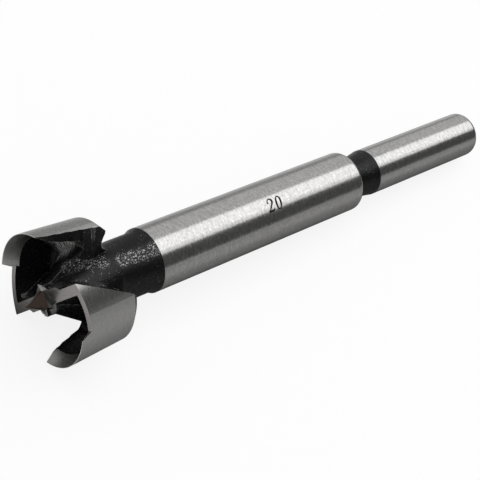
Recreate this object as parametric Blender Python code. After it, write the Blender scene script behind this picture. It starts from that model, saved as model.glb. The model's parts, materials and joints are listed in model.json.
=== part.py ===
"""Forstner bit, 20 mm: a single piece of steel, turned, milled and ground.

The bit is modelled upright, in millimetres turned to metres by MM. Its axis is
Z, the shank's end is at height 0 and the cutting face looks up. Depth is
measured from the plane of the rim's knife edges down towards the shank. Seen
from the cutting face, angles run anticlockwise from the first chipper's line.
Both halves of the head are the same, half a turn apart.
"""

import math

import bmesh
import bpy
from mathutils import Matrix, Vector

MM = 0.001
HALF_TURN = math.pi

# Driving sizes, in millimetres
HEAD_DIAMETER = 20.0
BODY_DIAMETER = 10.2
NECK_DIAMETER = 9.4
SHANK_DIAMETER = 8.0
WAIST_DIAMETER = 7.0
RIM_HEIGHT = 93.5
SPUR_REACH = 2.6

# Depths behind the rim's knife edge
HEAD_BACK_DEPTH = 9.4
THROAT_END_DEPTH = 11.1
BODY_START_DEPTH = 17.2
BODY_END_DEPTH = 61.4
SHANK_START_DEPTH = 66.5

# Turned details
HEAD_BACK_TAPER = 0.058
HEAD_BACK_CHAMFER = 1.0
HEAD_BACK_HOLLOW = 0.5
NECK_FILLET = 1.6
BODY_START_CHAMFER = 0.8
BODY_END_ROUND = 0.8
SHANK_END_ROUND = 1.1

# Rim and pocket
KNIFE_FLAT = 0.08
BEVEL_DEPTH = 2.0
BEVEL_WIDTH = 1.05
POCKET_DEPTH = 7.15
POCKET_WALL_DEPTH = 1.8
POCKET_WALL_LEAN = math.radians(14.0)
POCKET_FLOOR_ROUND = 1.3
CORE_DIAMETER = 4.8
CORE_CONE_DEPTH = 1.6
CORE_CONE_LEAN = math.radians(33.7)

# Chippers
CHIPPER_SETBACK = 0.6
CHIPPER_OFFSET = 0.56
RAKE_LEAN = math.radians(26.4)
FLANK_RELIEF = math.radians(9.5)
LAND_WIDTH = 1.4
NOTCH_DISTANCE = 7.6
BLADE_MARGIN = 0.5
FLANK_OVERLAP = 0.3
BEVEL_OVERLAP = 0.5
NOTCH_OVERLAP = 0.1

# Throats
THROAT_ANGLE = math.radians(56.0)
THROAT_TWIST_PER_MM = math.radians(-1.1)
THROAT_FLOOR_DIAMETER = 4.3
THROAT_ROOT_WIDTH = 3.2
THROAT_ROOT_ANGLE = math.radians(37.0)
THROAT_ROOT_HEIGHT = 0.85

# Centre spur
SPUR_WIDTH = 2.1
SPUR_THICKNESS = 2.5
SPUR_BASE_DEPTH = 0.3
SPUR_ROOT_DEPTH = 1.05
SPUR_FOOT_REACH = 2.75
SPUR_FOOT_OFFSET = 0.8
SPUR_FOOT_DEPTH = 0.81

# How finely the shapes are drawn
TURN_STEPS = 96
ARC_STEPS = 6
THROAT_STEPS = 8
THROAT_LEVELS = 7
SHARP_ANGLE = math.radians(35.0)
MERGE_DISTANCE = 0.0001
CLEAR = 3.0
REST_ROUNDS = 4

# Finishes: each one's place in the list of materials, colour and roughness
GROUND = 0
OXIDE = 1
GROUND_COLOUR = (0.62, 0.62, 0.61)
GROUND_ROUGHNESS = 0.32
OXIDE_COLOUR = (0.045, 0.045, 0.048)
OXIDE_ROUGHNESS = 0.45


def clear_scene():
    """Remove every object that the scene holds."""
    for item in list(bpy.data.objects):
        bpy.data.objects.remove(item, do_unlink=True)


def make_material(name, colour, roughness):
    """Return a bare metal with a plain Principled surface."""
    material = bpy.data.materials.new(name)
    material.use_nodes = True
    surface = material.node_tree.nodes["Principled BSDF"]
    surface.inputs["Base Color"].default_value = (*colour, 1.0)
    surface.inputs["Roughness"].default_value = roughness
    surface.inputs["Metallic"].default_value = 1.0
    material.diffuse_color = (*colour, 1.0)
    return material


def head_radius(depth):
    """Return the head's outer radius at a depth: it tapers to clear the hole."""
    return HEAD_DIAMETER / 2 - HEAD_BACK_TAPER * depth


def arc(centre, radius, start, end, steps=ARC_STEPS):
    """Return points (radius from the axis, depth) along an arc, ends included."""
    points = []
    for step in range(steps + 1):
        angle = start + (end - start) * step / steps
        across = centre[0] + radius * math.cos(angle)
        depth = centre[1] + radius * math.sin(angle)
        points.append((across, depth))
    return points


def place(point):
    """Turn (x, y, depth) in millimetres into a position in metres, height up."""
    x, y, depth = point
    return Vector((x * MM, y * MM, (RIM_HEIGHT - depth) * MM))


def finish_mesh(name, bm, materials, cutter):
    """Make an object from a bmesh. A cutter is drawn as wire and not rendered."""
    bmesh.ops.recalc_face_normals(bm, faces=bm.faces)
    mesh = bpy.data.meshes.new(name)
    bm.to_mesh(mesh)
    bm.free()
    for material in materials:
        mesh.materials.append(material)
    item = bpy.data.objects.new(name, mesh)
    bpy.context.scene.collection.objects.link(item)
    if cutter:
        item.hide_render = True
        item.display_type = "WIRE"
    return item


def turned(name, outline, closed, materials, cutter=False):
    """Turn an outline of (radius, depth, finish) points once round the axis.

    The finish of a point is that of the face which leads on from it.
    """
    bm = bmesh.new()
    rings = []
    for step in range(TURN_STEPS):
        angle = 2 * math.pi * (step + 0.5) / TURN_STEPS
        ring = []
        for radius, depth, _ in outline:
            x = radius * math.cos(angle)
            y = radius * math.sin(angle)
            ring.append(bm.verts.new(place((x, y, depth))))
        rings.append(ring)
    last = len(outline) if closed else len(outline) - 1
    for step in range(TURN_STEPS):
        here = rings[step]
        there = rings[(step + 1) % TURN_STEPS]
        for index in range(last):
            after = (index + 1) % len(outline)
            face = bm.faces.new((here[index], here[after], there[after], there[index]))
            face.material_index = outline[index][2]
    bmesh.ops.remove_doubles(bm, verts=bm.verts, dist=MERGE_DISTANCE * MM)
    return finish_mesh(name, bm, materials, cutter)


def prism(name, section, start, end, materials, finish):
    """Run a section of (y, depth) points along x, from start to end."""
    bm = bmesh.new()
    near = [bm.verts.new(place((start, y, depth))) for y, depth in section]
    far = [bm.verts.new(place((end, y, depth))) for y, depth in section]
    bm.faces.new(near)
    bm.faces.new(far)
    for index in range(len(section)):
        after = (index + 1) % len(section)
        bm.faces.new((near[index], near[after], far[after], far[index]))
    for face in bm.faces:
        face.material_index = finish
    return finish_mesh(name, bm, materials, cutter=True)


def cut(target, tool, operation="DIFFERENCE"):
    """Add an exact Boolean that keeps the finish of each face."""
    boolean = target.modifiers.new(tool.name, "BOOLEAN")
    boolean.operation = operation
    boolean.solver = "EXACT"
    boolean.material_mode = "TRANSFER"
    boolean.object = tool


def half_turned(item):
    """Return a copy of a tool, half a turn round the axis."""
    twin = item.copy()
    twin.name = item.name + "_opposite"
    twin.rotation_euler = (0.0, 0.0, HALF_TURN)
    bpy.context.scene.collection.objects.link(twin)
    return twin


def shank_outline():
    """Return the outline from the shank's end face to the body's far end."""
    shank = SHANK_DIAMETER / 2
    waist = WAIST_DIAMETER / 2
    body = BODY_DIAMETER / 2
    end_round = arc((shank - SHANK_END_ROUND, RIM_HEIGHT - SHANK_END_ROUND), SHANK_END_ROUND,
                    math.pi / 2, 0.0)
    flare_depth = SHANK_START_DEPTH - BODY_END_DEPTH
    flare_width = shank - waist
    flare = []
    for step in range(1, ARC_STEPS + 1):
        share = 1.0 - step / ARC_STEPS
        flare.append((waist + flare_width * share ** 2, BODY_END_DEPTH + flare_depth * share))
    body_round = arc((body - BODY_END_ROUND, BODY_END_DEPTH - BODY_END_ROUND), BODY_END_ROUND,
                     math.pi / 2, 0.0)
    points = [(0.0, RIM_HEIGHT, GROUND)]
    points += [(r, d, GROUND) for r, d in end_round]
    points += [(shank, SHANK_START_DEPTH, OXIDE)]
    points += [(r, d, OXIDE) for r, d in flare]
    points += [(r, d, GROUND) for r, d in body_round]
    return points


def head_outline():
    """Return the outline from the body's front end to the centre of the face."""
    body = BODY_DIAMETER / 2
    neck = NECK_DIAMETER / 2
    rear = head_radius(HEAD_BACK_DEPTH)
    face_depth = HEAD_BACK_DEPTH + HEAD_BACK_CHAMFER
    fillet_centre = (neck + NECK_FILLET, face_depth - HEAD_BACK_HOLLOW + NECK_FILLET)
    fillet = arc(fillet_centre, NECK_FILLET, math.pi, 1.5 * math.pi)
    points = [(body, BODY_START_DEPTH + BODY_START_CHAMFER, OXIDE)]
    points += [(neck, BODY_START_DEPTH, OXIDE)]
    points += [(r, d, OXIDE) for r, d in fillet]
    points += [(rear - HEAD_BACK_CHAMFER - HEAD_BACK_HOLLOW, face_depth, OXIDE)]
    points += [(rear - HEAD_BACK_CHAMFER, face_depth, OXIDE)]
    points += [(rear, HEAD_BACK_DEPTH, GROUND)]
    points += [(head_radius(0.0), 0.0, GROUND)]
    points += [(0.0, 0.0, GROUND)]
    return points


def make_blank(materials):
    """Turn the whole bit, with the head still solid."""
    return turned("forstner_bit", shank_outline() + head_outline(), False, materials)


def wall_top():
    """Return the radius of the pocket's wall where it meets the knife's bevel."""
    return head_radius(0.0) - KNIFE_FLAT - BEVEL_WIDTH


def make_pocket_tool(materials):
    """Turn the ring that hollows the head: wall, floor and core."""
    wall = wall_top()
    core = CORE_DIAMETER / 2
    floor_round = POCKET_FLOOR_ROUND
    floor_top = POCKET_DEPTH - floor_round
    wall_radius = wall - math.tan(POCKET_WALL_LEAN) * (floor_top - POCKET_WALL_DEPTH)
    corner = arc((wall_radius - floor_round / math.cos(POCKET_WALL_LEAN), floor_top), floor_round,
                 POCKET_WALL_LEAN, math.pi / 2)
    core_foot = core + math.tan(CORE_CONE_LEAN) * (POCKET_DEPTH - CORE_CONE_DEPTH)
    outline = [(wall, -CLEAR, OXIDE)]
    outline += [(wall, POCKET_WALL_DEPTH, OXIDE)]
    outline += [(r, d, OXIDE) for r, d in corner]
    outline += [(core_foot, POCKET_DEPTH, OXIDE)]
    outline += [(core, CORE_CONE_DEPTH, OXIDE)]
    outline += [(core, -CLEAR, OXIDE)]
    return turned("pocket_tool", outline, True, materials, cutter=True)


def make_bevel_tool(materials):
    """Turn the ring that sharpens the rim's knives from inside."""
    slope = BEVEL_WIDTH / BEVEL_DEPTH
    inner = wall_top() - BEVEL_OVERLAP
    outline = [(wall_top() + slope * (BEVEL_DEPTH + CLEAR), -CLEAR, GROUND)]
    outline += [(inner, BEVEL_DEPTH + BEVEL_OVERLAP / slope, GROUND)]
    outline += [(inner, -CLEAR, GROUND)]
    return turned("bevel_tool", outline, True, materials, cutter=True)


def rake_y(depth):
    """Return the rake face's place across the chippers at a depth."""
    return CHIPPER_OFFSET - math.tan(RAKE_LEAN) * (depth - CHIPPER_SETBACK)


def flank_depth(behind):
    """Return the flank's depth at a distance behind the cutting edge."""
    return CHIPPER_SETBACK + math.tan(FLANK_RELIEF) * behind


def make_blade_guard(materials):
    """Make the slanted wall that the pocket leaves standing under a chipper."""
    deep = POCKET_DEPTH + CLEAR
    top = -2 * CLEAR
    section = [
        (rake_y(top) + BLADE_MARGIN, top),
        (rake_y(deep) + BLADE_MARGIN, deep),
        (rake_y(deep) - LAND_WIDTH, deep),
        (rake_y(top) - LAND_WIDTH, top),
    ]
    return prism("blade_guard", section, CORE_DIAMETER / 4, HEAD_DIAMETER, materials, OXIDE)


def notch_y(depth):
    """Return the place across the chippers of the notch's face on the rim."""
    return CHIPPER_OFFSET - NOTCH_DISTANCE + math.tan(RAKE_LEAN) * depth


def make_rim_guard(materials):
    """Make the block that keeps the bevel off the rim between a chipper and the notch."""
    deep = POCKET_DEPTH
    section = [
        (CHIPPER_OFFSET + CLEAR, -2 * CLEAR),
        (CHIPPER_OFFSET + CLEAR, deep),
        (notch_y(deep) + NOTCH_OVERLAP, deep),
        (notch_y(-2 * CLEAR) + NOTCH_OVERLAP, -2 * CLEAR),
    ]
    return prism("rim_guard", section, CORE_DIAMETER / 2, HEAD_DIAMETER, materials, OXIDE)


def make_flank_tool(materials):
    """Make the cut that relieves a chipper's flank, as far as the rim's notch."""
    edge = CHIPPER_OFFSET
    floor_depth = flank_depth(edge - notch_y(flank_depth(NOTCH_DISTANCE)))
    section = [
        (edge + CLEAR, flank_depth(-CLEAR)),
        (notch_y(floor_depth), floor_depth),
        (notch_y(-CLEAR), -CLEAR),
        (edge + CLEAR, -CLEAR),
    ]
    return prism("flank_tool", section, -FLANK_OVERLAP, HEAD_DIAMETER, materials, GROUND)


def throat_section(depth):
    """Return the throat's (x, y) outline at a depth, round its floor."""
    outside = HEAD_DIAMETER
    front = THROAT_FLOOR_DIAMETER / 2
    floor_slope = (NECK_DIAMETER / 2 - front) / (THROAT_END_DEPTH - CORE_CONE_DEPTH)
    floor = front + floor_slope * max(0.0, depth - CORE_CONE_DEPTH)
    rake = rake_y(depth)
    start = THROAT_ROOT_ANGLE + math.asin(max(-1.0, min(0.0, rake / floor)))
    end = THROAT_ANGLE + THROAT_TWIST_PER_MM * depth
    bulge = THROAT_ROOT_HEIGHT * (1.0 - max(0.0, depth) / (THROAT_END_DEPTH + CLEAR))
    points = [(outside, rake), (floor + THROAT_ROOT_WIDTH, rake)]
    for step in range(THROAT_STEPS + 1):
        angle = start + (end - start) * step / THROAT_STEPS
        radius = floor + bulge * (1.0 - step / THROAT_STEPS)
        points.append((radius * math.cos(angle), radius * math.sin(angle)))
    points.append((outside * math.cos(end), outside * math.sin(end)))
    return points


def make_throat_tool(materials):
    """Loft the throat ahead of a chipper, from the face to the neck."""
    bm = bmesh.new()
    length = THROAT_END_DEPTH + CLEAR - CORE_CONE_DEPTH
    depths = [-CLEAR]
    depths += [CORE_CONE_DEPTH + length * step / THROAT_LEVELS for step in range(THROAT_LEVELS + 1)]
    levels = []
    for depth in depths:
        section = throat_section(depth)
        levels.append([bm.verts.new(place((x, y, depth))) for x, y in section])
    bm.faces.new(levels[0])
    bm.faces.new(levels[-1])
    count = len(levels[0])
    for upper, lower in zip(levels, levels[1:]):
        for index in range(count):
            after = (index + 1) % count
            bm.faces.new((upper[index], upper[after], lower[after], lower[index]))
    for face in bm.faces:
        face.material_index = OXIDE
    bmesh.ops.triangulate(bm, faces=bm.faces)
    return finish_mesh("throat_tool", bm, materials, cutter=True)


def make_spur(materials):
    """Make the centre spur: a four-sided point whose foot runs out onto the chippers."""
    bm = bmesh.new()
    tip = bm.verts.new(place((0.0, 0.0, -SPUR_REACH)))
    growth = (SPUR_REACH + SPUR_ROOT_DEPTH) / (SPUR_REACH + SPUR_BASE_DEPTH)
    foot = (SPUR_FOOT_REACH, -SPUR_FOOT_OFFSET)
    corner = (SPUR_WIDTH / 2, SPUR_THICKNESS / 2)
    opposite = (-SPUR_WIDTH / 2, SPUR_THICKNESS / 2)
    upper = []
    lower = []
    for side in (1, -1):
        for (x, y), depth, spread in (
            (foot, SPUR_FOOT_DEPTH, 1.0),
            (corner, SPUR_BASE_DEPTH, growth),
            (opposite, SPUR_BASE_DEPTH, growth),
        ):
            upper.append(bm.verts.new(place((side * x, side * y, depth))))
            lower.append(bm.verts.new(place((side * x * spread, side * y * spread, SPUR_ROOT_DEPTH))))
    count = len(upper)
    for index in range(count):
        after = (index + 1) % count
        bm.faces.new((upper[index], upper[after], lower[after], lower[index]))
    bm.faces.new(lower)
    for foot_index in (0, 3):
        before = upper[foot_index - 1]
        after = upper[foot_index + 1]
        bm.faces.new((before, upper[foot_index], after))
        bm.faces.new((tip, before, after))
        bm.faces.new((tip, after, upper[foot_index + 2]))
    return finish_mesh("spur_tool", bm, materials, cutter=True)


def on_head(depth, angle):
    """Return the place on the head's outside at a depth and an angle."""
    radius = head_radius(depth)
    return place((radius * math.cos(angle), radius * math.sin(angle), depth))


def resting_turn():
    """Return the rotation that lays the bit on a throat's two sides and the shank's end.

    The sides touch at the chipper's corner and at the wing's rear corner.
    """
    chipper_angle = HALF_TURN + math.asin(CHIPPER_OFFSET / head_radius(CHIPPER_SETBACK))
    wing_angle = HALF_TURN + THROAT_ANGLE + THROAT_TWIST_PER_MM * HEAD_BACK_DEPTH
    chipper = on_head(CHIPPER_SETBACK, chipper_angle)
    wing = on_head(HEAD_BACK_DEPTH, wing_angle)
    end_centre = Vector((0.0, 0.0, SHANK_END_ROUND * MM))
    up = -(chipper + wing)
    up.z = 0.0
    for _ in range(REST_ROUNDS):
        sideways = Vector((up.x, up.y, 0.0)).normalized()
        heel = end_centre - sideways * SHANK_DIAMETER / 2 * MM
        normal = (wing - chipper).cross(heel - chipper).normalized()
        up = normal if normal.dot(up) > 0 else -normal
    forward = Vector((0.0, 0.0, 1.0)) - up.z * up
    forward.normalize()
    left = up.cross(forward)
    return Matrix((forward, left, up)).to_4x4()


def lay_down(bit, tools):
    """Lay the bit as it comes to rest, centred over the origin."""
    rest = bpy.data.objects.new("rest", None)
    bpy.context.scene.collection.objects.link(rest)
    for item in [bit] + tools:
        item.parent = rest
    rest.matrix_world = resting_turn()
    bpy.context.view_layer.update()
    evaluated = bit.evaluated_get(bpy.context.evaluated_depsgraph_get())
    corners = [evaluated.matrix_world @ vertex.co for vertex in evaluated.data.vertices]
    low = Vector([min(corner[axis] for corner in corners) for axis in range(3)])
    high = Vector([max(corner[axis] for corner in corners) for axis in range(3)])
    rest.location = (-(low.x + high.x) / 2, -(low.y + high.y) / 2, -low.z)


def build():
    """Build the bit and lay it down."""
    clear_scene()
    materials = [
        make_material("ground_steel", GROUND_COLOUR, GROUND_ROUGHNESS),
        make_material("black_oxide", OXIDE_COLOUR, OXIDE_ROUGHNESS),
    ]
    bit = make_blank(materials)
    pocket = make_pocket_tool(materials)
    blade_guard = make_blade_guard(materials)
    bevel = make_bevel_tool(materials)
    rim_guard = make_rim_guard(materials)
    flank = make_flank_tool(materials)
    throat = make_throat_tool(materials)
    spur = make_spur(materials)
    opposite = {item: half_turned(item) for item in (blade_guard, rim_guard, flank, throat)}
    tools = [pocket, bevel, spur] + list(opposite) + list(opposite.values())

    for ring, guard in ((pocket, blade_guard), (bevel, rim_guard)):
        cut(ring, guard)
        cut(ring, opposite[guard])
    for tool in (throat, flank):
        cut(bit, tool)
        cut(bit, opposite[tool])
    cut(bit, pocket)
    cut(bit, bevel)
    bit.modifiers.new("flat_faces", "TRIANGULATE")
    cut(bit, spur, "UNION")

    bit.data.shade_smooth()
    bit.data.set_sharp_from_angle(angle=SHARP_ANGLE)
    lay_down(bit, tools)


build()
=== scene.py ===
"""Looks of the forstner bit: joined flat faces, ground steel, black oxide, the size mark and the studio."""

import json
import math

import bmesh
import bpy
from mathutils import Matrix, Vector


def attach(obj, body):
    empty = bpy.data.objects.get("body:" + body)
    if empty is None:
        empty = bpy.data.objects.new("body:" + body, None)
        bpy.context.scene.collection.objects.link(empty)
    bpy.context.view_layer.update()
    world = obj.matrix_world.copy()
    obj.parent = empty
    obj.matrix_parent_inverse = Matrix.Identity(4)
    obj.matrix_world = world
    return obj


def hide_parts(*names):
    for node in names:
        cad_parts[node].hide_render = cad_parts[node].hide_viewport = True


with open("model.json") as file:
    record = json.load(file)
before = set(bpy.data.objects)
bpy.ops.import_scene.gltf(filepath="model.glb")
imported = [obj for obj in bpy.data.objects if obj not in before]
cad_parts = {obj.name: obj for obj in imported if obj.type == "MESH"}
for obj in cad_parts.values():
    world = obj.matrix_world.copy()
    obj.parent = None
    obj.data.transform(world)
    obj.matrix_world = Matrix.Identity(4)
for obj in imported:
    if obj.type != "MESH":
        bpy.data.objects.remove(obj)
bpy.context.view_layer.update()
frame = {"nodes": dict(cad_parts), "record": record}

MM = 0.001

# The bit's own frame, in millimetres: Z runs along the axis to the cutting face, and depths run from the rim
RIM_HEIGHT = 93.5
RIM_RADIUS = 10.0
HEAD_BACK_DEPTH = 9.4
BODY_RADIUS = 5.1
OXIDE_END_DEPTH = 18.25
BODY_LAST_DEPTH = 60.5
SHANK_FIRST_DEPTH = 66.6
SHANK_LAST_DEPTH = 92.3
BEVEL_DEPTH = 2.2
BEVEL_INNER_RADIUS = 8.7
CORE_RADIUS = 2.4
SPUR_BASE_DEPTH = 0.3

# How far the frame's X axis is turned from straight up, as the bit lies
UP_ANGLE = math.radians(24.17)

# Where the finishes end: depths, widths, and how far a face leans outward, inward or forward at least
CORE_BLEND = 0.6
CORE_FACE_DEPTH = 1.8
CORE_FORWARD = 0.3
RIM_WALL = 0.8
RIM_OUTWARD = 0.97
BEVEL_INWARD = 0.3
BEVEL_FORWARD = 0.2
STRIP_DEPTH = 0.05
FLANK_DEPTH = 2.6
FLANK_FORWARD = 0.93
GROOVE_STEP = 0.15
SEAM = 0.02

# How the faces of the solid are joined and shaded
WELD_DISTANCE = 0.0005
FLAT_ANGLE = math.radians(0.3)
SHARP_ANGLE = math.radians(20.0)

# Colours
STEEL_COLOUR = (0.6, 0.595, 0.585)
# The strip's steel is lighter than the rest as a painted reflection of the bright floor before the head
BRIGHT_COLOUR = (0.8, 0.79, 0.77)
LAND_COLOUR = (0.38, 0.36, 0.35)
BEVEL_COLOUR = (0.45, 0.45, 0.43)
SPUR_COLOUR = (0.05, 0.036, 0.03)
CORE_COLOUR = (0.16, 0.16, 0.15)
OXIDE_COLOUR = (0.022, 0.022, 0.023)
SPECK_COLOUR = (0.24, 0.24, 0.24)
# Bare steel of scuffed edges, also painted on as the highlight flecks and streaks
BARE_AND_HIGHLIGHT_COLOUR = (0.52, 0.52, 0.51)
MARK_COLOUR = (0.02, 0.016, 0.013)
WHITE = (1.0, 1.0, 1.0, 1.0)

# Ground steel: ranges of the noise, spread of the roughness and height of the grain
STEEL_TINT_RANGE = (0.35, 0.65)
STEEL_GLOSS_RANGE = (0.3, 0.7)
STEEL_GLOSS_SPREAD = 0.15
STEEL_GRAIN_HEIGHT = 0.01

# Black oxide: its grain, its specks and how its roughness follows the grain
GRAIN_SCALE = 4.5
GRAIN_DETAIL = 4.0
GRAIN_ROUGHNESS = 0.6
GRAIN_HEIGHT = 0.05
GRAIN_RELIEF = 0.8
PATCH_SCALE = 0.5
PATCH_SHARE = 0.35
SPECK_RANGE = (0.8, 0.93)
OXIDE_ROUGHNESS = 0.27
OXIDE_GLOSS_RANGE = (0.35, 0.7)
OXIDE_GLOSS_SPREAD = 0.08
OXIDE_METALLIC = 0.8
# Metallic of bare steel, also of the painted highlight flecks and streaks
BARE_AND_HIGHLIGHT_METALLIC = 0.25

# Rubbed edges of the black oxide: cosines between a rounded edge and the flat face
EDGE_REACH = 0.12
EDGE_RANGE = (0.995, 0.93)
EDGE_PATCH_SCALE = 1.6
EDGE_PATCH_RANGE = (0.4, 0.62)
EDGE_BARENESS = 0.7

# Bare and highlit places of the black oxide, as x, y and depth, each in full up to FULL_SHARE of its reach:
# milled streaks, partly real and partly a painted highlight, and flecks on the throat floor and the neck,
# which are a painted highlight
STREAK_POINT = (-0.3, 6.2, 6.9)
STREAK_REACH = 3.2
STREAK_STRETCH = (7.0, 1.0, 1.0)
STREAK_DETAIL = 5.0
STREAK_RANGE = (0.42, 0.54)
# Painted highlight: flecks set where the lamp's highlight falls on the throat floor and the neck
HIGHLIGHT_FLECK_POINTS = [
    (2.5, 3.1, 4.6),
    (2.5, 2.9, 6.2),
    (3.1, 2.3, 7.7),
    (3.8, 2.1, 9.3),
    (4.5, 1.2, 12.2),
    (4.6, 1.1, 14.0),
    (4.6, 1.0, 15.8),
    (4.7, 1.0, 17.5),
]
HIGHLIGHT_FLECK_REACH = 1.3
HIGHLIGHT_FLECK_RANGE = (0.52, 0.62)
HIGHLIGHT_FLECK_SHARE = 0.8
FULL_SHARE = 0.6

# The size mark on the body: heights run round the body
MARK_DEPTH = 39.85
MARK_BASE = -0.45
MARK_HEIGHT = 2.25
MARK_DIGIT_WIDTH = 1.3
MARK_DIGIT_STEP = 1.65
MARK_SLANT = 0.2
MARK_THICK_STROKE = 0.38
MARK_THIN_STROKE = 0.2
MARK_LIFT = 0.005
MARK_SINK = 0.02
MARK_STEPS = 28
MARK_ROUGHNESS = 0.8
MARK_SPECULAR = 0.1

# The strokes of the two, in shares of a digit's width and height, and its bow's angles in degrees
TWO_START = (0.1, 0.66)
TWO_BOW_CENTRE = (0.42, 0.73)
TWO_BOW_REACH = (0.37, 0.235)
TWO_BOW_FIRST = 165.0
TWO_BOW_SWEEP = 205.0
TWO_KNEE = (0.42, 0.33)
TWO_KNEE_STROKE = 0.8
TWO_SLOPE_END = 0.06
TWO_FOOT_END = 0.8
TWO_FOOT_TIP = (0.98, 0.2)

# The photograph's camera, in the frame of the model, with its turn in degrees
CAMERA_PLACE = (0.11466, 0.06102, 0.15255)
CAMERA_TURN = (35.4191, -18.7164, 143.3511)
CAMERA_LENS = 89.925
CAMERA_SENSOR = 36.0
CAMERA_CLIP_START = 0.01

# The studio, in metres and in degrees from straight up, positive away from the camera; a level of 1 is white
WORLD_LEVEL = 0.5
FLOOR_RADIUS = 3.0
FLOOR_COLOUR = (0.96, 0.96, 0.96, 1.0)
FLOOR_SHARE = 0.85
LAMP_DISTANCE = 0.6
LAMP_START = -1.6
STUDIO_END = 0.3
KEY_ANGLE = 7.0
KEY_WIDTH = 0.46
KEY_LEVEL = 1.34
KEY_EDGE_ANGLE = -21.0
KEY_EDGE_WIDTH = 0.17
KEY_EDGE_LEVEL = 1.0
# A dark glow round the studio that only reflections show: a painted dark reflection
DARK_REFLECTION_LEVEL = 0.07
STUDIO_RADIUS = 2.5
DOME_STEPS = 16
CIRCLE_STEPS = 64
CARD_STEPS = 8
# Glowing cards that only reflections show: painted reflection bands on the far side and on the camera's side
CARD_DISTANCE = 0.8
CARD_START = -2.0
FAR_CARD_ANGLES = (31.0, 89.0)
FAR_CARD_SHADE = 0.56
NEAR_CARD_ANGLES = (-78.0, -89.0)
NEAR_CARD_SHADE = 0.35

# The grey sheet under the bit, which only reflections show, with painted shade and light: each runs from one
# place to another, and from one shade to another
SHEET_HEIGHT = 0.00005
SHEET_NEAR = (0.003, 0.026, 0.15, 0.35)
SHEET_FAR = (-0.003, -0.012, 0.0, 0.45)
SHEET_FARTHER = (-0.016, -0.04, 0.0, 0.3)
SHEET_FRONT = (0.0475, 0.0505, 0.0, 0.75)


def rest_matrix():
    """Return the bit's own frame as it lies, from the mount on the shank's end."""
    mount = frame["record"]["mounts"][0]
    axis = -Vector(mount["axis"]).normalized()
    up = (Vector((0.0, 0.0, 1.0)) - axis.z * axis).normalized()
    side = axis.cross(up)
    across = math.cos(UP_ANGLE) * up - math.sin(UP_ANGLE) * side
    beside = axis.cross(across)
    turn = Matrix((across, beside, axis)).transposed().to_4x4()
    return Matrix.Translation(Vector(mount["pos_m"])) @ turn


REST = rest_matrix()


def set_input(tree, socket, value):
    """Set a value on a socket, or link another socket to it."""
    if isinstance(value, bpy.types.NodeSocket):
        tree.links.new(value, socket)
    else:
        socket.default_value = value


def add_node(tree, kind, settings=None, **inputs):
    """Add a node with its settings and inputs. Inputs without names of their own are i0, i1 and so on."""
    node = tree.nodes.new(kind)
    for name, value in (settings or {}).items():
        setattr(node, name, value)
    for name, value in inputs.items():
        key = int(name[1:]) if name[0] == "i" and name[1:].isdigit() else name.replace("_", " ")
        set_input(tree, node.inputs[key], value)
    return node


def new_material(name):
    """Return a material, its node tree and its Principled surface."""
    material = bpy.data.materials.new(name)
    material.use_nodes = True
    tree = material.node_tree
    return material, tree, tree.nodes["Principled BSDF"]


def maths(tree, operation, first, second):
    """Return the result of one Math node."""
    return add_node(tree, "ShaderNodeMath", {"operation": operation}, i0=first, i1=second).outputs[0]


def noise(tree, place, scale, stretch=(1.0, 1.0, 1.0), detail=3.0, rough=0.55):
    """Return noise with a scale per millimetre of the bit's frame, stretched along its axes."""
    mapping = add_node(tree, "ShaderNodeMapping", Vector=place, Scale=tuple(scale / MM * s for s in stretch))
    texture = add_node(tree, "ShaderNodeTexNoise", Vector=mapping.outputs[0], Scale=1.0,
                       Detail=detail, Roughness=rough)
    return texture.outputs["Fac"]


def ramp(tree, value, low, high, to_low=0.0, to_high=1.0):
    """Return a value carried from one range to another and held at its ends."""
    node = add_node(tree, "ShaderNodeMapRange", Value=value)
    node.inputs["From Min"].default_value = low
    node.inputs["From Max"].default_value = high
    node.inputs["To Min"].default_value = to_low
    node.inputs["To Max"].default_value = to_high
    return node.outputs[0]


def mix_colour(tree, factor, first, second):
    """Return one colour faded into another."""
    node = tree.nodes.new("ShaderNodeMix")
    node.data_type = "RGBA"
    set_input(tree, node.inputs["Factor"], factor)
    set_input(tree, node.inputs[6], first)
    set_input(tree, node.inputs[7], second)
    return node.outputs[2]


def object_place(tree):
    """Return the place on the surface in the bit's own frame."""
    place = tree.nodes.new("ShaderNodeTexCoord").outputs["Object"]
    mapping = add_node(tree, "ShaderNodeMapping", {"vector_type": "TEXTURE"}, Vector=place,
                       Location=tuple(REST.translation), Rotation=tuple(REST.to_euler()))
    return mapping.outputs[0]


def steel(name, colour, roughness, stretch, contrast, relief=0.12, grit=9.0):
    """Make ground steel whose grinding lines run across the stretched axis."""
    material, tree, surface = new_material(name)
    place = object_place(tree)
    lines = noise(tree, place, 1.0, stretch)
    grain = noise(tree, place, grit)
    both = maths(tree, "ADD", maths(tree, "MULTIPLY", lines, 0.5), maths(tree, "MULTIPLY", grain, 0.5))
    dark = tuple((1.0 - contrast) * c for c in colour)
    light = tuple(min(1.0, (1.0 + contrast) * c) for c in colour)
    tint = mix_colour(tree, ramp(tree, both, *STEEL_TINT_RANGE), (*dark, 1.0), (*light, 1.0))
    tree.links.new(tint, surface.inputs["Base Color"])
    smoothest = roughness * (1.0 - STEEL_GLOSS_SPREAD)
    roughest = roughness * (1.0 + STEEL_GLOSS_SPREAD)
    gloss = ramp(tree, both, *STEEL_GLOSS_RANGE, smoothest, roughest)
    tree.links.new(gloss, surface.inputs["Roughness"])
    surface.inputs["Metallic"].default_value = 1.0
    bump = add_node(tree, "ShaderNodeBump", Strength=relief, Distance=STEEL_GRAIN_HEIGHT * MM, Height=both)
    tree.links.new(bump.outputs[0], surface.inputs["Normal"])
    return material


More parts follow.
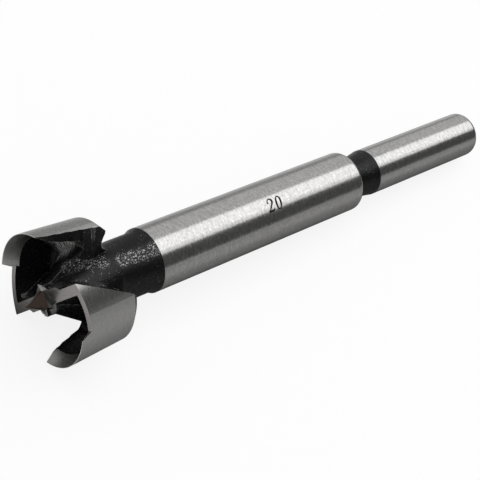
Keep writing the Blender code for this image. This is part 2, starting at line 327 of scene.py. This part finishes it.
def near_point(tree, place, point, reach):
    """Return 1 near a point of the bit's own frame, fading to 0 at its reach, in millimetres."""
    x, y, depth = point
    centre = (x * MM, y * MM, (RIM_HEIGHT - depth) * MM)
    away = add_node(tree, "ShaderNodeVectorMath", {"operation": "DISTANCE"}, i0=place, i1=centre)
    return ramp(tree, away.outputs["Value"], reach * MM, FULL_SHARE * reach * MM)


def edge_wear(tree, place):
    """Return how far an edge is scuffed to the steel: 0 on the faces, up to 1 on the edges, in patches."""
    rounded = add_node(tree, "ShaderNodeBevel", Radius=EDGE_REACH * MM).outputs[0]
    flat = tree.nodes.new("ShaderNodeNewGeometry").outputs["Normal"]
    both = add_node(tree, "ShaderNodeVectorMath", {"operation": "DOT_PRODUCT"}, i0=rounded, i1=flat)
    edge = ramp(tree, both.outputs["Value"], *EDGE_RANGE)
    patches = ramp(tree, noise(tree, place, EDGE_PATCH_SCALE), *EDGE_PATCH_RANGE)
    return maths(tree, "MULTIPLY", edge, patches)


def streak_and_highlight_share(tree, place, grain):
    """Return the share of the painted places: milled streaks on a pocket's floor, partly a painted
    highlight, and flecks beside them and along the neck, which are a painted highlight.
    """
    # Milled streaks near one point, lighter in part as a painted highlight
    lines = noise(tree, place, 1.0, STREAK_STRETCH, detail=STREAK_DETAIL)
    streaks = ramp(tree, lines, *STREAK_RANGE)
    share = maths(tree, "MULTIPLY", streaks, near_point(tree, place, STREAK_POINT, STREAK_REACH))
    flecks = ramp(tree, grain, *HIGHLIGHT_FLECK_RANGE, 0.0, HIGHLIGHT_FLECK_SHARE)
    # Flecks near these points are a painted highlight
    for point in HIGHLIGHT_FLECK_POINTS:
        painted_fleck = maths(tree, "MULTIPLY", flecks, near_point(tree, place, point, HIGHLIGHT_FLECK_REACH))
        share = maths(tree, "MAXIMUM", share, painted_fleck)
    return share


def oxide(name, streaked_and_highlit):
    """Make black oxide with a grain of small bright specks, scuffed edges and, if asked, milled streaks and
    flecks painted as a highlight.
    """
    material, tree, surface = new_material(name)
    place = object_place(tree)
    grain = noise(tree, place, GRAIN_SCALE, detail=GRAIN_DETAIL, rough=GRAIN_ROUGHNESS)
    patches = maths(tree, "MULTIPLY", noise(tree, place, PATCH_SCALE), PATCH_SHARE)
    specks = ramp(tree, maths(tree, "ADD", grain, patches), *SPECK_RANGE)
    tint = mix_colour(tree, specks, (*OXIDE_COLOUR, 1.0), (*SPECK_COLOUR, 1.0))
    bare_and_highlit = maths(tree, "MULTIPLY", edge_wear(tree, place), EDGE_BARENESS)
    if streaked_and_highlit:
        # Milled streaks, partly a painted highlight, and painted highlight flecks
        bare_and_highlit = maths(tree, "MAXIMUM", bare_and_highlit, streak_and_highlight_share(tree, place, grain))
    tint = mix_colour(tree, bare_and_highlit, tint, (*BARE_AND_HIGHLIGHT_COLOUR, 1.0))
    tree.links.new(tint, surface.inputs["Base Color"])
    roughest = OXIDE_ROUGHNESS + OXIDE_GLOSS_SPREAD
    smoothest = OXIDE_ROUGHNESS - OXIDE_GLOSS_SPREAD
    gloss = ramp(tree, grain, *OXIDE_GLOSS_RANGE, roughest, smoothest)
    tree.links.new(gloss, surface.inputs["Roughness"])
    metallic = ramp(tree, bare_and_highlit, 0.0, 1.0, OXIDE_METALLIC, BARE_AND_HIGHLIGHT_METALLIC)
    tree.links.new(metallic, surface.inputs["Metallic"])
    bump = add_node(tree, "ShaderNodeBump", Strength=GRAIN_RELIEF, Distance=GRAIN_HEIGHT * MM, Height=grain)
    tree.links.new(bump.outputs[0], surface.inputs["Normal"])
    return material


def ink(name, colour):
    """Make the matt dark surface of the mark."""
    material, _, surface = new_material(name)
    surface.inputs["Base Color"].default_value = (*colour, 1.0)
    surface.inputs["Roughness"].default_value = MARK_ROUGHNESS
    surface.inputs["Specular IOR Level"].default_value = MARK_SPECULAR
    return material


def make_finishes():
    """Return the materials of the bit, in the order of its material slots."""
    return [
        steel("turned_steel", STEEL_COLOUR, roughness=0.2, stretch=(0.9, 0.9, 6.0), contrast=0.2,
              relief=0.8, grit=2.6),
        steel("rim_steel", STEEL_COLOUR, roughness=0.26, stretch=(0.8, 0.8, 5.0), contrast=0.1),
        steel("bevel_steel", BEVEL_COLOUR, roughness=0.3, stretch=(0.9, 0.9, 4.0), contrast=0.12),
        steel("flank_steel", LAND_COLOUR, roughness=0.3, stretch=(0.8, 4.0, 0.8), contrast=0.1),
        # Lighter steel of the strip: a painted reflection
        steel("strip_steel", BRIGHT_COLOUR, roughness=0.3, stretch=(0.9, 0.9, 0.9), contrast=0.1),
        steel("spur_steel", SPUR_COLOUR, roughness=0.32, stretch=(0.8, 0.8, 3.0), contrast=0.2),
        steel("core_steel", CORE_COLOUR, roughness=0.35, stretch=(0.8, 0.8, 3.0), contrast=0.2),
        oxide("oxide", streaked_and_highlit=False),
        oxide("streaked_and_highlit_oxide", streaked_and_highlit=True),
    ]


def head_finish(radius, depth, outward, forward):
    """Return the name of the finish of a face of the cutting head."""
    if depth < SPUR_BASE_DEPTH and radius < CORE_RADIUS:
        return "spur_steel"
    if depth < CORE_FACE_DEPTH and radius < CORE_RADIUS + CORE_BLEND:
        return "core_steel" if forward > CORE_FORWARD else "oxide"
    if depth < HEAD_BACK_DEPTH + SEAM and radius > RIM_RADIUS - RIM_WALL and outward > RIM_OUTWARD:
        return "rim_steel"
    on_rim = radius > BEVEL_INNER_RADIUS
    if on_rim and depth < BEVEL_DEPTH + SEAM and outward < -BEVEL_INWARD and forward > BEVEL_FORWARD:
        return "bevel_steel"
    if on_rim and depth < STRIP_DEPTH:
        return "strip_steel"
    if depth < FLANK_DEPTH and forward > FLANK_FORWARD:
        return "flank_steel"
    return "streaked_and_highlit_oxide"


def face_finish(centre, normal):
    """Return the name of the finish of a face, from its place and direction in the bit's frame."""
    radius = math.hypot(centre.x, centre.y) / MM
    depth = RIM_HEIGHT - centre.z / MM
    if depth < OXIDE_END_DEPTH:
        from_axis = Vector((centre.x, centre.y, 0.0)).normalized()
        return head_finish(radius, depth, normal.dot(from_axis), normal.z)
    in_groove = BODY_LAST_DEPTH < depth < SHANK_FIRST_DEPTH and radius < BODY_RADIUS - GROOVE_STEP
    return "oxide" if in_groove else "turned_steel"


def cut_loops(bm):
    """Cut the turned faces round, so that their shading ends there."""
    for depth in (OXIDE_END_DEPTH, BODY_LAST_DEPTH, SHANK_FIRST_DEPTH, SHANK_LAST_DEPTH):
        everything = list(bm.verts) + list(bm.edges) + list(bm.faces)
        plane = Vector((0.0, 0.0, (RIM_HEIGHT - depth) * MM))
        bmesh.ops.bisect_plane(bm, geom=everything, plane_co=plane, plane_no=(0.0, 0.0, 1.0))


def make_bit():
    """Copy the CAD solid, join its flat faces and give each face its finish."""
    finishes = make_finishes()
    names = [finish.name for finish in finishes]
    bm = bmesh.new()
    bm.from_mesh(frame["nodes"]["forstner_bit"].data)
    bm.transform(REST.inverted())
    bmesh.ops.remove_doubles(bm, verts=bm.verts, dist=WELD_DISTANCE * MM)
    bmesh.ops.dissolve_limit(bm, angle_limit=FLAT_ANGLE, verts=bm.verts, edges=bm.edges)
    cut_loops(bm)
    bm.normal_update()
    for face in bm.faces:
        face.material_index = names.index(face_finish(face.calc_center_median(), face.normal))
        face.smooth = True
    bm.transform(REST)
    mesh = bpy.data.meshes.new("dressed_bit")
    bm.to_mesh(mesh)
    bm.free()
    for finish in finishes:
        mesh.materials.append(finish)
    mesh.set_sharp_from_angle(angle=SHARP_ANGLE)
    piece = bpy.data.objects.new("dressed_bit", mesh)
    bpy.context.scene.collection.objects.link(piece)
    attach(piece, "root")
    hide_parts("forstner_bit")


def stroke_width(share):
    """Return a stroke's width between the thin one and the thick one."""
    return MARK_THIN_STROKE + (MARK_THICK_STROKE - MARK_THIN_STROKE) * share


def on_digit(shares):
    """Return a point of a digit, in millimetres, from its shares of the digit's width and height."""
    return shares[0] * MARK_DIGIT_WIDTH, shares[1] * MARK_HEIGHT


def nought_line():
    """Return the middle of the nought's stroke, closed, with its width at each point."""
    line = []
    for step in range(MARK_STEPS + 1):
        angle = 2 * math.pi * step / MARK_STEPS
        width = stroke_width(math.cos(angle) ** 2)
        across = MARK_DIGIT_WIDTH / 2 * (1.0 + math.cos(angle)) - width * math.cos(angle) / 2
        up = MARK_HEIGHT / 2 * (1.0 + math.sin(angle)) - width * math.sin(angle) / 2
        line.append((across, up, width))
    return line


def two_line():
    """Return the middle of the two's bow and slope, with its width at each point."""
    centre_across, centre_up = on_digit(TWO_BOW_CENTRE)
    reach_across, reach_up = on_digit(TWO_BOW_REACH)
    line = [(*on_digit(TWO_START), MARK_THICK_STROKE)]
    steps = MARK_STEPS // 2
    for step in range(steps + 1):
        angle = math.radians(TWO_BOW_FIRST - TWO_BOW_SWEEP * step / steps)
        across = centre_across + reach_across * math.cos(angle)
        up = centre_up + reach_up * math.sin(angle)
        line.append((across, up, stroke_width(max(0.0, math.cos(angle)))))
    line.append((*on_digit(TWO_KNEE), TWO_KNEE_STROKE * MARK_THICK_STROKE))
    line.append((TWO_SLOPE_END * MARK_DIGIT_WIDTH, MARK_THIN_STROKE, MARK_THIN_STROKE))
    return line


def foot_line():
    """Return the middle of the two's foot, with its width at each point."""
    foot = MARK_THICK_STROKE / 2
    return [
        (0.0, foot, MARK_THICK_STROKE),
        (TWO_FOOT_END * MARK_DIGIT_WIDTH, foot, MARK_THICK_STROKE),
        (*on_digit(TWO_FOOT_TIP), MARK_THIN_STROKE),
    ]


def on_body(across, up, radius):
    """Return the place on the body of a point of the mark, in the bit's own frame."""
    depth = MARK_DEPTH + across + MARK_SLANT * up
    angle = (MARK_BASE + up) / BODY_RADIUS
    return Vector((radius * math.cos(angle) * MM, radius * math.sin(angle) * MM, (RIM_HEIGHT - depth) * MM))


def add_stroke(bm, line, shift):
    """Add one stroke of the mark as a thin closed band bent round the body."""
    top = BODY_RADIUS + MARK_LIFT
    bottom = BODY_RADIUS - MARK_SINK
    rings = []
    for index, (across, up, width) in enumerate(line):
        before = line[max(0, index - 1)]
        after = line[min(len(line) - 1, index + 1)]
        course = Vector((after[0] - before[0], after[1] - before[1])).normalized()
        side = Vector((-course.y, course.x)) * width / 2
        ring = []
        for sign, radius in ((1, top), (-1, top), (-1, bottom), (1, bottom)):
            point = on_body(shift + across + sign * side.x, up + sign * side.y, radius)
            ring.append(bm.verts.new(REST @ point))
        rings.append(ring)
    for first, second in zip(rings, rings[1:]):
        for corner in range(4):
            after = (corner + 1) % 4
            bm.faces.new((first[corner], first[after], second[after], second[corner]))
    bm.faces.new(rings[0])
    bm.faces.new(rings[-1])


def make_mark():
    """Put the number 20 on the body."""
    bm = bmesh.new()
    add_stroke(bm, two_line(), 0.0)
    add_stroke(bm, foot_line(), 0.0)
    add_stroke(bm, nought_line(), MARK_DIGIT_STEP)
    bmesh.ops.recalc_face_normals(bm, faces=bm.faces)
    mesh = bpy.data.meshes.new("size_mark")
    bm.to_mesh(mesh)
    bm.free()
    mesh.materials.append(ink("mark", MARK_COLOUR))
    mark = bpy.data.objects.new("size_mark", mesh)
    bpy.context.scene.collection.objects.link(mark)
    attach(mark, "root")


def glowing(tree, colour):
    """Return the shader of an even glow, where white is strength 1."""
    return add_node(tree, "ShaderNodeEmission", Color=colour, Strength=1.0).outputs[0]


def set_matt(surface):
    """Take all gloss from a surface."""
    surface.inputs["Roughness"].default_value = 1.0
    surface.inputs["Specular IOR Level"].default_value = 0.0


def white_for_sight(tree, shaded, share):
    """Mix white, in a share, into what the camera, reflections and transmission show of a shader."""
    path = tree.nodes.new("ShaderNodeLightPath")
    seen = maths(tree, "MAXIMUM", path.outputs["Is Camera Ray"], path.outputs["Is Glossy Ray"])
    seen = maths(tree, "MAXIMUM", seen, path.outputs["Is Transmission Ray"])
    mix = tree.nodes.new("ShaderNodeMixShader")
    tree.links.new(maths(tree, "MULTIPLY", seen, share), mix.inputs[0])
    tree.links.new(shaded, mix.inputs[1])
    tree.links.new(glowing(tree, WHITE), mix.inputs[2])
    return mix.outputs[0]


def make_floor():
    """Lay a plain white floor that keeps a soft shadow."""
    bpy.ops.mesh.primitive_circle_add(vertices=CIRCLE_STEPS, radius=FLOOR_RADIUS, fill_type="NGON",
                                      location=(0.0, 0.0, 0.0))
    floor = bpy.context.object
    floor.name = "floor"
    material, tree, surface = new_material("floor")
    surface.inputs["Base Color"].default_value = FLOOR_COLOUR
    set_matt(surface)
    shown = white_for_sight(tree, surface.outputs[0], FLOOR_SHARE)
    tree.links.new(shown, tree.nodes["Material Output"].inputs["Surface"])
    floor.data.materials.append(material)


def make_world():
    """Light the studio evenly, with a white background."""
    world = bpy.data.worlds.new("studio")
    bpy.context.scene.world = world
    world.use_nodes = True
    tree = world.node_tree
    even = tree.nodes["Background"]
    even.inputs["Color"].default_value = WHITE
    even.inputs["Strength"].default_value = WORLD_LEVEL
    shown = white_for_sight(tree, even.outputs[0], 1.0)
    tree.links.new(shown, tree.nodes["World Output"].inputs["Surface"])
    world.cycles.sampling_method = "NONE"


def around(angle, distance):
    """Return a place beside the bit, from an angle and a distance of the studio."""
    return Vector((0.0, -math.sin(math.radians(angle)) * distance, math.cos(math.radians(angle)) * distance))


def make_lamp(name, angle, width, level):
    """Hang a soft lamp along the bit. Its level is what a mirror would show of it."""
    length = STUDIO_END - LAMP_START
    data = bpy.data.lights.new(name, "AREA")
    data.shape = "RECTANGLE"
    data.size = length
    data.size_y = width
    data.energy = level * math.pi * width * length
    lamp = bpy.data.objects.new(name, data)
    lamp.location = around(angle, LAMP_DISTANCE) + Vector(((LAMP_START + STUDIO_END) / 2, 0.0, 0.0))
    lamp.rotation_euler = (math.radians(angle), 0.0, 0.0)
    bpy.context.scene.collection.objects.link(lamp)


def glow(name, shade):
    """Return a material of one even shade of light."""
    material, tree, _ = new_material(name)
    light = glowing(tree, (shade, shade, shade, 1.0))
    tree.links.new(light, tree.nodes["Material Output"].inputs["Surface"])
    return material


def show_card(name, bm, material):
    """Turn a bmesh into a studio card, which only reflections show."""
    mesh = bpy.data.meshes.new(name)
    bm.to_mesh(mesh)
    bm.free()
    mesh.materials.append(material)
    card = bpy.data.objects.new(name, mesh)
    bpy.context.scene.collection.objects.link(card)
    card.visible_camera = False
    card.visible_diffuse = False
    card.visible_shadow = False
    card.visible_transmission = False


def make_reflection_card(name, angles, shade):
    """Stand a curved glowing card along the bit, between two angles: a painted reflection band."""
    first_angle, last_angle = angles
    bm = bmesh.new()
    rows = []
    for step in range(CARD_STEPS + 1):
        place = around(first_angle + (last_angle - first_angle) * step / CARD_STEPS, CARD_DISTANCE)
        rows.append([bm.verts.new(place + Vector((x, 0.0, 0.0))) for x in (CARD_START, STUDIO_END)])
    for first, second in zip(rows, rows[1:]):
        bm.faces.new((first[0], first[1], second[1], second[0]))
    show_card(name, bm, glow(name, shade))


def make_dark_reflection_dome():
    """Put a dark glowing dome round the studio, which only reflections show: a painted dark reflection."""
    bm = bmesh.new()
    bmesh.ops.create_uvsphere(bm, u_segments=2 * DOME_STEPS, v_segments=DOME_STEPS, radius=STUDIO_RADIUS)
    show_card("painted_dark_reflection", bm, glow("painted_dark_reflection", DARK_REFLECTION_LEVEL))


def make_painted_reflection_sheet():
    """Lay a grey sheet under the bit, which only reflections show: painted shade on the camera's side close
    to it and painted light before the head.
    """
    bm = bmesh.new()
    bmesh.ops.create_circle(bm, cap_ends=True, segments=CIRCLE_STEPS, radius=STUDIO_RADIUS)
    bmesh.ops.translate(bm, vec=(0.0, 0.0, SHEET_HEIGHT), verts=bm.verts)
    material, tree, surface = new_material("painted_reflection_sheet")
    place = tree.nodes.new("ShaderNodeTexCoord").outputs["Object"]
    parts = add_node(tree, "ShaderNodeSeparateXYZ", i0=place)
    # Painted shade near the bit on the camera's side, painted light on the far side close to it and before
    # the head
    near = ramp(tree, parts.outputs["Y"], *SHEET_NEAR)
    far = ramp(tree, parts.outputs["Y"], *SHEET_FAR)
    farther = ramp(tree, parts.outputs["Y"], *SHEET_FARTHER)
    front = ramp(tree, parts.outputs["X"], *SHEET_FRONT)
    beside = maths(tree, "SUBTRACT", maths(tree, "ADD", near, far), farther)
    shade = maths(tree, "MAXIMUM", beside, front)
    tree.links.new(shade, surface.inputs["Base Color"])
    set_matt(surface)
    show_card("painted_reflection_sheet", bm, material)


def make_camera():
    """Stand where the photographer stood."""
    data = bpy.data.cameras.new("camera")
    data.lens = CAMERA_LENS
    data.sensor_width = CAMERA_SENSOR
    data.clip_start = CAMERA_CLIP_START
    camera = bpy.data.objects.new("camera", data)
    camera.location = CAMERA_PLACE
    camera.rotation_euler = tuple(math.radians(angle) for angle in CAMERA_TURN)
    bpy.context.scene.collection.objects.link(camera)
    bpy.context.scene.camera = camera


bpy.context.scene.view_settings.view_transform = "Standard"
make_camera()
make_bit()
make_mark()
make_floor()
make_world()
make_lamp("key", KEY_ANGLE, KEY_WIDTH, KEY_LEVEL)
make_lamp("key_edge", KEY_EDGE_ANGLE, KEY_EDGE_WIDTH, KEY_EDGE_LEVEL)
make_dark_reflection_dome()
make_painted_reflection_sheet()
make_reflection_card("far_reflection_card", FAR_CARD_ANGLES, FAR_CARD_SHADE)
make_reflection_card("near_reflection_card", NEAR_CARD_ANGLES, NEAR_CARD_SHADE)
